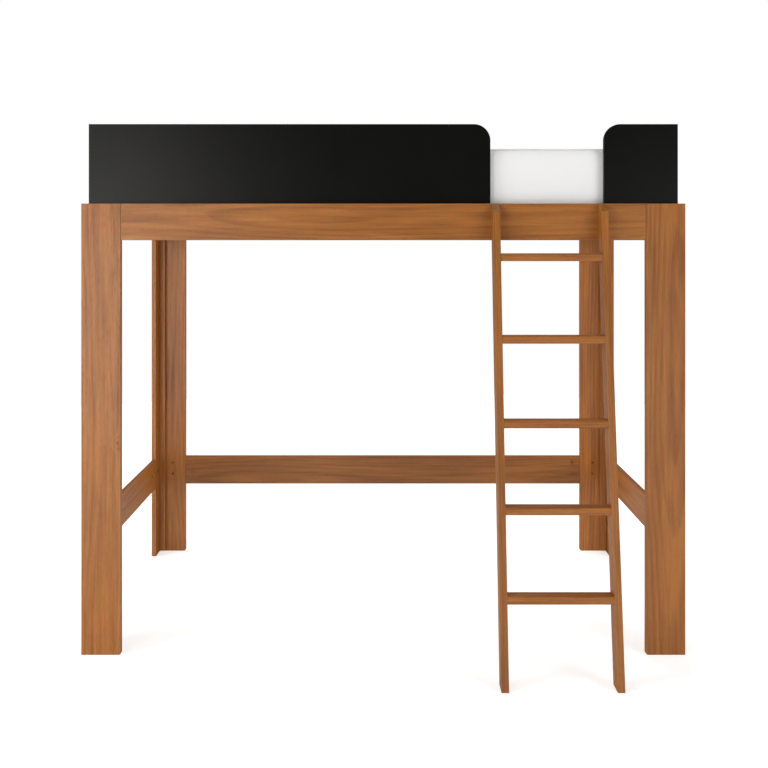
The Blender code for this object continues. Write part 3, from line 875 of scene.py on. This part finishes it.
def cleat_screw_places(spacing):
    """Screws through the cleats' inner faces into the guards."""
    places = []
    for name, way in (("cleat_front", 1), ("cleat_rear", -1)):
        low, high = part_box(name)
        inner = high.y if way > 0 else low.y
        row = spread(low.x + CLEAT_INSET, high.x - CLEAT_INSET, spacing)
        places += [((x, inner, (low.z + high.z) / 2), (0, way, 0)) for x in row]
    return places


def slat_screw_places():
    """A screw at each end of each slat, over the middle of the cleat."""
    places = []
    for name in SLATS:
        low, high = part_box(name)
        middle = (low.x + high.x) / 2
        for cleat in CLEATS:
            front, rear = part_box(cleat)
            places.append(((middle, (front.y + rear.y) / 2, high.z), (0, 0, 1)))
    return places


class BED_OT_drive_screws(bpy.types.Operator):
    """Drive the screws of the guards, the cleats and the slats"""

    bl_idname = "bed.drive_screws"
    bl_label = "Drive the screws"

    def execute(self, context):
        settings = context.scene.loft_bed.fittings
        material = plating("screw_zinc", Vector(settings.tint))
        local, blocks = cross_head(settings.head_radius)
        rows = (
            ("guard_screws", guard_screw_places(settings.spacing)),
            ("cleat_screws", cleat_screw_places(settings.spacing)),
            ("slat_screws", slat_screw_places()),
        )
        for name, places in rows:
            points, copies = place_heads(local, blocks, places)
            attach(piece_from(name, points, copies, material), "frame")
        return {"FINISHED"}


def bronze(name, tint):
    """Bronzed zinc for a connector, darker on the barrel nut, which is at its outer end."""
    low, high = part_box(name)
    axis = max(range(3), key=lambda index: high[index] - low[index])
    reach = max(abs(low[axis]), abs(high[axis]))
    finish = Finish(bpy.data.materials.new(name + "_bronze"))
    outwards = finish.math("ABSOLUTE", finish.parts(finish.place())[axis])
    nut = finish.step(outwards, reach - NUT_START[0], reach - NUT_START[1])
    patch, shade = metal_patches(finish, tint)
    shade = finish.mix(nut * 0.5, shade, colour(NUT_BROWN))
    return finish.finish_with({
        "Base Color": shade,
        "Metallic": 1.0,
        "Roughness": 0.38 + patch * 0.2,
        "Normal": finish.bump(patch, METAL_RELIEF),
    })


class BED_OT_plate_fittings(bpy.types.Operator):
    """Bronze the connectors, and zinc the ladder's bolts"""

    bl_idname = "bed.plate_fittings"
    bl_label = "Plate the fittings"

    def execute(self, context):
        settings = context.scene.loft_bed.fittings
        for name in CONNECTORS:
            dress(name, bronze(name, Vector(settings.bronze)))
        for name in BOLTS:
            dress(name, plating(name + "_zinc", Vector(settings.tint)))
        return {"FINISHED"}


def cover_lines(half, cell):
    """Grid lines across a panel: even cells, with finer ones beside each seam."""
    inner = half - SEAM_EDGE
    count = max(2, round(2 * inner / cell))
    middle = np.linspace(-inner, inner, count + 1)
    fine = inner + SEAM_EDGE * np.array(SEAM_STEPS)
    return np.concatenate([-fine[::-1], middle, fine])


def rounded_corner(x, y, half_x, half_y, radius):
    """Pull the corners of a grid in to round ones.

    Within a corner's square, each of a point's two places, counted in radii, is multiplied by the
    square root of one less half the other's square, which lays the square's rim on the arc.
    """
    u = np.clip((np.abs(x) - (half_x - radius)) / radius, 0, None)
    v = np.clip((np.abs(y) - (half_y - radius)) / radius, 0, None)
    both = (u > 0) & (v > 0)
    new_u = np.where(both, u * np.sqrt(1 - v * v / 2), u)
    new_v = np.where(both, v * np.sqrt(1 - u * u / 2), v)
    new_x = np.sign(x) * (np.minimum(np.abs(x), half_x - radius) + new_u * radius)
    new_y = np.sign(y) * (np.minimum(np.abs(y), half_y - radius) + new_v * radius)
    return new_x, new_y


def soft_waves(x, y, size, seed):
    """Low uneven waves, from -1 to 1: the mean of sines of unlike directions and lengths."""
    pick = np.random.default_rng(seed)
    total = np.zeros_like(x)
    for _ in range(WAVES):
        direction = pick.uniform(0, math.tau)
        length = size * pick.uniform(*WAVE_SPREAD)
        start = pick.uniform(0, math.tau)
        run = x * math.cos(direction) + y * math.sin(direction)
        total += np.sin(run * math.tau / length + start)
    return total / WAVES


class BED_OT_cover_mattress(bpy.types.Operator):
    """Make the mattress in its knitted cover, with its sewn edge"""

    bl_idname = "bed.cover_mattress"
    bl_label = "Cover the mattress"

    def execute(self, context):
        settings = context.scene.loft_bed.cover
        material = knit("mattress_cover_knit", settings)
        points, faces, uvs, held = mattress_form(settings)
        piece = piece_from("mattress_cover", points, [faces], material)
        swell(piece, held, settings)
        layer = piece.data.uv_layers.new(name="cloth")
        layer.data.foreach_set("uv", uvs.reshape(-1).astype(np.float32))
        smooth = piece.modifiers.new("soft", "SUBSURF")
        smooth.levels = 1
        smooth.render_levels = 1
        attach(piece, "mattress")
        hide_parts("mattress")
        return {"FINISHED"}


def swell(piece, held, settings):
    """Let the stuffing push the cover out between its seams, and keep the result as its shape.

    Blender's cloth swells under a light pressure, a little loose, with its seams and its base
    held. Each point then keeps the reach times the hyperbolic tangent of its move over the reach,
    so none goes past the reach.
    """
    scene = bpy.context.scene
    count = len(piece.data.vertices)
    rest = np.empty(count * 3)
    piece.data.vertices.foreach_get("co", rest)
    group = piece.vertex_groups.new(name="held")
    group.add(held.tolist(), 1.0, "REPLACE")
    modifier = piece.modifiers.new("swell", "CLOTH")
    cloth = modifier.settings
    cloth.vertex_group_mass = "held"
    cloth.quality = 4
    cloth.mass = 0.3
    cloth.tension_stiffness = 15
    cloth.compression_stiffness = 15
    cloth.shear_stiffness = 5
    cloth.bending_stiffness = 0.6
    cloth.shrink_min = -0.006
    cloth.use_pressure = True
    cloth.uniform_pressure_force = 3
    cloth.effector_weights.gravity = 0
    modifier.collision_settings.use_collision = False
    modifier.point_cache.frame_start = 1
    modifier.point_cache.frame_end = settings.frames
    for moment in range(1, settings.frames + 1):
        scene.frame_set(moment)
    moved = np.empty(count * 3)
    shown = piece.evaluated_get(bpy.context.evaluated_depsgraph_get())
    shown.data.vertices.foreach_get("co", moved)
    piece.modifiers.remove(modifier)
    piece.vertex_groups.remove(group)
    scene.frame_set(1)
    step = (moved - rest).reshape(-1, 3)
    length = np.maximum(np.linalg.norm(step, axis=1), LEAST_MOVE)[:, None]
    step *= settings.swell * np.tanh(length / settings.swell) / length
    piece.data.vertices.foreach_set("co", rest + step.reshape(-1))
    piece.data.update()


def top_rise(gx, gy, half_x, half_y):
    """How far the top stands over its seam.

    The crown falls both ways with the fourth power of the distance from the middle, counted in
    half sizes. Low waves are added, and the seam draws it down by a bell curve beside the rim.
    """
    rise = CROWN * (1 - (gx / half_x) ** 4) * (1 - (gy / half_y) ** 4)
    rise += TOP_WAVE_HEIGHT * soft_waves(gx, gy, TOP_WAVE_LENGTH, seed=11)
    rim_gap = np.minimum(half_x - np.abs(gx), half_y - np.abs(gy))
    return rise - SEAM_DIP * np.exp(-(rim_gap / SEAM_WIDTH) ** 2)


def band_profile(top, base):
    """The profile of the side band, as three columns with a value for each of its rows.

    It turns a quarter out from the top seam, goes straight down, and turns a quarter back under.
    The columns are how far out a row stands, its height, and its share of the way down the
    straight side.
    """
    out_turn = np.linspace(0, math.pi / 2, TOP_TURN_ROWS + 1)[1:]
    under_turn = np.linspace(0, math.pi / 2, BASE_TURN_ROWS)
    side_top, side_low = top - TOP_ROUNDING, base + BASE_ROUNDING
    straight = np.linspace(side_top, side_low, STRAIGHT_ROWS + 2)[1:-1]
    out = np.concatenate([
        TOP_ROUNDING * np.sin(out_turn),
        np.full_like(straight, TOP_ROUNDING),
        TOP_ROUNDING - BASE_ROUNDING * (1 - np.cos(under_turn))])
    height = np.concatenate([
        top - TOP_ROUNDING * (1 - np.cos(out_turn)),
        straight,
        side_low - BASE_ROUNDING * np.sin(under_turn)])
    share = np.clip((side_top - height) / (side_top - side_low), 0, 1)
    return out[:, None], height[:, None], share[:, None]


def side_band(rim, travel, straight_x, straight_y, profile):
    """The points of the band: its profile carried round the rim, row by row.

    Between the corners a side draws in by half a sine wave of the share of the way down it, and
    low waves that follow the same sine run round the band.
    """
    out, height, share = profile
    past = np.abs(rim) - (straight_x, straight_y)
    normal = np.clip(past, 0, None) * np.sign(rim)
    normal /= np.linalg.norm(normal, axis=1)[:, None]
    pull = np.clip(1 - np.abs(rim) / (straight_x, straight_y), 0, 1)
    along_x = np.abs(normal[:, 1]) > np.abs(normal[:, 0])
    arch = np.sin(math.pi * share)
    draw = BAND_DRAW * arch * np.where(along_x, pull[:, 0], pull[:, 1]) ** 0.3
    run, level = np.broadcast_arrays(travel[:-1], height)
    ripple = BAND_WAVE_HEIGHT * arch * soft_waves(run, level, BAND_WAVE_LENGTH, seed=23)
    reach = out - draw + ripple
    return np.concatenate([rim + normal * reach[..., None], level[..., None]], axis=-1)


def mattress_form(settings):
    """The mattress as one closed surface: a crowned top, a side band, and a flat base.

    The top and the base are grids of x and y with rounded corners, and the band joins their rims.
    Gives the points, the faces, the cloth's place at each face's corners, and the held points.
    """
    low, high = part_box("mattress")
    centre = (low + high) / 2
    top_x = (high.x - low.x) / 2 - END_EASE - TOP_ROUNDING
    top_y = (high.y - low.y) / 2 + SIDE_FULLNESS - TOP_ROUNDING
    top = high.z - SEAM_DROP
    radius = CORNER_RADIUS - TOP_ROUNDING
    gx, gy = np.meshgrid(
        cover_lines(top_x, settings.cell), cover_lines(top_y, settings.cell), indexing="ij")
    px, py = rounded_corner(gx, gy, top_x, top_y, radius)
    top_points = np.stack([px, py, top + top_rise(gx, gy, top_x, top_y)], axis=-1).reshape(-1, 3)
    grid = np.arange(gx.size).reshape(gx.shape)
    # The rim's points, anticlockwise from the lowest corner, and how far round it each one lies
    order = np.concatenate([grid[:-1, 0], grid[-1, :-1], grid[:0:-1, -1], grid[0, :0:-1]])
    rim = top_points[order, :2]
    strides = np.linalg.norm(np.roll(rim, -1, axis=0) - rim, axis=1)
    travel = np.concatenate([[0], np.cumsum(strides)])

    profile = band_profile(top, low.z)
    band_points = side_band(rim, travel, top_x - radius, top_y - radius, profile)
    band = len(top_points) + np.arange(band_points[..., 0].size).reshape(-1, len(order))
    draw_in = TOP_ROUNDING - BASE_ROUNDING
    base_points = np.stack([
        px * ((top_x + draw_in) / top_x),
        py * ((top_y + draw_in) / top_y),
        np.full_like(px, low.z)], axis=-1).reshape(-1, 3)
    inner = np.setdiff1d(grid, order)
    base = np.empty(grid.size, int)
    base[order] = band[-1]
    base[inner] = band[-1, -1] + 1 + np.arange(len(inner))
    points = np.concatenate([top_points, band_points.reshape(-1, 3), base_points[inner]])
    points += (centre.x, centre.y, 0)
    held = np.concatenate([order, np.arange(band[-1, 0], len(points))])

    top_faces = cells_between(grid[:, :-1], grid[:, 1:])
    base_faces = base[top_faces][:, ::-1]
    rows = np.vstack([order, band])
    band_faces = cells_between(rows, np.roll(rows, -1, axis=1))
    faces = np.concatenate([top_faces, band_faces, base_faces])

    start, level = np.broadcast_arrays(travel[:-1], np.vstack([[top], profile[1]]))
    end = np.broadcast_to(travel[1:], start.shape)
    band_uvs = np.stack([cells_between(start, end), cells_between(level, level)], axis=-1)
    uvs = np.concatenate([points[top_faces][:, :, :2], band_uvs, points[base_faces][:, :, :2]])
    return points, faces, uvs, held


def knit(name, settings):
    """A fine weft knit: columns of slanting stitches, each a raised loop, with soft slubs.

    Across a column the share runs from 0 to 1. A stitch's height is a sine along the column,
    set back by the distance from the column's middle, and it falls to nought between columns. The
    low parts are painted darker and the crowns lighter, as painted shade.
    """
    finish = Finish(bpy.data.materials.new(name))
    uv = finish.add("ShaderNodeUVMap", {"uv_map": "cloth"})
    across, along, _ = finish.parts(uv)
    pitch = settings.knit_pitch
    share = finish.math("FRACT", across / pitch)
    from_middle = finish.math("ABSOLUTE", share - 0.5)
    wave = finish.math("SINE", (along / (pitch * 0.8) + from_middle * 1.2) * math.tau)
    ridge = 1 - finish.math("POWER", from_middle * 2, 4.0)
    loop = (wave * 0.5 + 0.5) * ridge
    slub = finish.noise(finish.stretch(finish.place(), SLUBS), 3.0)
    cloud = finish.noise(finish.stretch(finish.place(), CLOUDS, shift=(3, 5, 1)), 3.0)
    tint = Vector(settings.tint)
    # Painted shade: the knit is painted darker low between its loops and lighter on their crowns.
    shade = finish.mix(loop * 0.5, colour(tint, 0.93), colour(tint, 1.03))
    shade = finish.mix(cloud * 0.25, shade, colour(CLOUD_WHITE))
    line = along - (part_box("mattress")[1].z - SEAM_DROP)
    sewn = finish.step(line, *THREAD_START) * (1 - finish.step(line, *THREAD_END))
    dash = finish.math("FRACT", across / settings.stitch_pitch)
    thread = sewn * finish.step(dash, *STITCH_START) * (1 - finish.step(dash, *STITCH_END))
    pull = sewn - thread
    # Painted shade: the cloth is painted darker in the seam's groove, where the thread pulls it in
    # between stitches.
    shade = finish.mix(pull * 0.35, shade, colour(tint, 0.6))
    height = loop * 0.8 + slub * 0.6 + thread * 1.5 - pull * 1.5
    return finish.finish_with({
        "Base Color": shade,
        "Roughness": 0.82 + (slub - 0.5) * 0.2,
        "Sheen Weight": 0.25,
        "Sheen Roughness": 0.5,
        "Normal": finish.bump(height, KNIT_RELIEF, 0.6),
    })


def softbox(name, place, target, size, radiance, tint, mirrored):
    """A soft light of an even radiance: its power is the radiance times its area times pi."""
    lamp = bpy.data.lights.new(name, "AREA")
    lamp.shape = "RECTANGLE"
    lamp.size, lamp.size_y = size
    lamp.energy = radiance * size[0] * size[1] * math.pi
    lamp.color = tint
    holder = put_in_scene(name, lamp)
    holder.location = place
    holder.rotation_euler = (Vector(target) - holder.location).to_track_quat("-Z", "Y").to_euler()
    holder.visible_camera = False
    holder.visible_glossy = mirrored


def photo_camera(settings):
    """The photo's camera: level, in front of the bed, with its frame shifted down."""
    lens = bpy.data.cameras.new("photo_view")
    lens.lens = settings.lens
    lens.sensor_width = SENSOR_WIDTH
    lens.shift_x = settings.shift_x
    lens.shift_y = settings.shift_y
    camera = put_in_scene("photo_view", lens)
    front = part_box("post_face_front_left")[0].y
    camera.location = (
        settings.camera_side, front - settings.camera_distance, settings.camera_height)
    camera.rotation_euler = (math.pi / 2, 0, 0)
    return camera


def seen_directly(finish):
    """Two values, 1 or nought: whether the camera looks, and whether a reflection does."""
    camera = finish.add("ShaderNodeLightPath", {}, {}, "Is Camera Ray")
    glossy = camera.other("Is Glossy Ray")
    return camera, finish.math("MAXIMUM", glossy, camera.other("Is Transmission Ray"))


def white_room(settings):
    """The room all round: white to the camera, even to matt faces, and uneven in the varnish."""
    room = Finish(bpy.data.worlds.new("white_room"))
    camera_ray, mirror_ray = seen_directly(room)
    way = room.parts(room.add("ShaderNodeTexCoord", {}, {}, 0))
    behind = room.step(way[1], *WALL_START)
    above = room.step(way[2], *CEILING_START)
    level = behind * settings.backdrop + (1 - behind) * settings.dark_front
    mirrored = above * settings.ceiling + (1 - above) * level
    strength = camera_ray + (1 - camera_ray) * (
        mirror_ray * mirrored + (1 - mirror_ray) * settings.room)
    background = room.add("ShaderNodeBackground", {}, {"Color": colour(WHITE), "Strength": strength})
    room.add("ShaderNodeOutputWorld", {}, {"Surface": background})
    return room.owner


def pale_floor(settings):
    """A pale matt floor that the camera sees as white, with the bed's shadow on it."""
    finish = Finish(bpy.data.materials.new("pale_floor"))
    camera_ray, mirror_ray = seen_directly(finish)
    matt = finish.add("ShaderNodeBsdfDiffuse", {}, {"Color": colour(FLOOR_GREY)})
    unseen = (1 - camera_ray) * (1 - mirror_ray)
    strength = camera_ray * settings.floor_lift + unseen * settings.floor_glow
    glow = finish.add("ShaderNodeEmission", {}, {"Color": colour(WHITE), "Strength": strength})
    both = finish.add("ShaderNodeAddShader", {}, {0: matt, 1: glow})
    finish.add("ShaderNodeOutputMaterial", {}, {"Surface": both})
    return finish.owner


def floor_disc(settings):
    """The floor as one round face about the middle of the frame."""
    angle = np.arange(FLOOR_SIDES) * math.tau / FLOOR_SIDES
    rim = FLOOR_RADIUS * np.stack([np.cos(angle), np.sin(angle), 0 * angle], axis=-1)
    return mesh_thing("floor", rim, [np.arange(FLOOR_SIDES)[None]], pale_floor(settings))


class BED_OT_set_stage(bpy.types.Operator):
    """Set the camera, the soft lights, the white room and the pale floor"""

    bl_idname = "bed.set_stage"
    bl_label = "Set the stage"

    def execute(self, context):
        settings = context.scene.loft_bed.studio
        scene = context.scene
        scene.view_settings.view_transform = "Standard"
        scene.camera = photo_camera(settings)
        for name, setting, place, target, size, tint, mirrored in SOFTBOXES:
            softbox(name, place, target, size, getattr(settings, setting), tint, mirrored)
        scene.world = white_room(settings)
        floor = floor_disc(settings)
        return {"FINISHED"}


class BED_PT_dresser(bpy.types.Panel):
    """Lists the settings and the steps that dress the bed"""

    bl_label = "Loft bed"
    bl_idname = "BED_PT_dresser"
    bl_space_type = "VIEW_3D"
    bl_region_type = "UI"
    bl_category = "Loft bed"

    def draw(self, context):
        settings = context.scene.loft_bed
        for group in ("stain", "lacquer", "pine", "cover", "fittings", "studio"):
            box = self.layout.box()
            box.label(text=group.capitalize())
            part = getattr(settings, group)
            for name in part.bl_rna.properties.keys():
                if name not in ("rna_type", "name"):
                    box.prop(part, name)
        for step in STEPS:
            self.layout.operator(step.bl_idname)


GROUPS = (
    StainSettings, LacquerSettings, PineSettings, CoverSettings, FittingSettings, StudioSettings,
    LoftBedSettings)
STEPS = (
    BED_OT_set_stage, BED_OT_stain_boards, BED_OT_lacquer_guards, BED_OT_plane_deck,
    BED_OT_plate_fittings, BED_OT_drive_screws, BED_OT_cover_mattress)


def register():
    for part in GROUPS + STEPS + (BED_PT_dresser,):
        bpy.utils.register_class(part)
    bpy.types.Scene.loft_bed = PointerProperty(type=LoftBedSettings)


def unregister():
    del bpy.types.Scene.loft_bed
    for part in reversed(GROUPS + STEPS + (BED_PT_dresser,)):
        bpy.utils.unregister_class(part)


def main():
    """Dress the bed step by step."""
    register()
    bpy.ops.bed.set_stage()
    bpy.ops.bed.stain_boards()
    bpy.ops.bed.lacquer_guards()
    bpy.ops.bed.plane_deck()
    bpy.ops.bed.plate_fittings()
    bpy.ops.bed.drive_screws()
    bpy.ops.bed.cover_mattress()


if __name__ == "__main__":
    main()
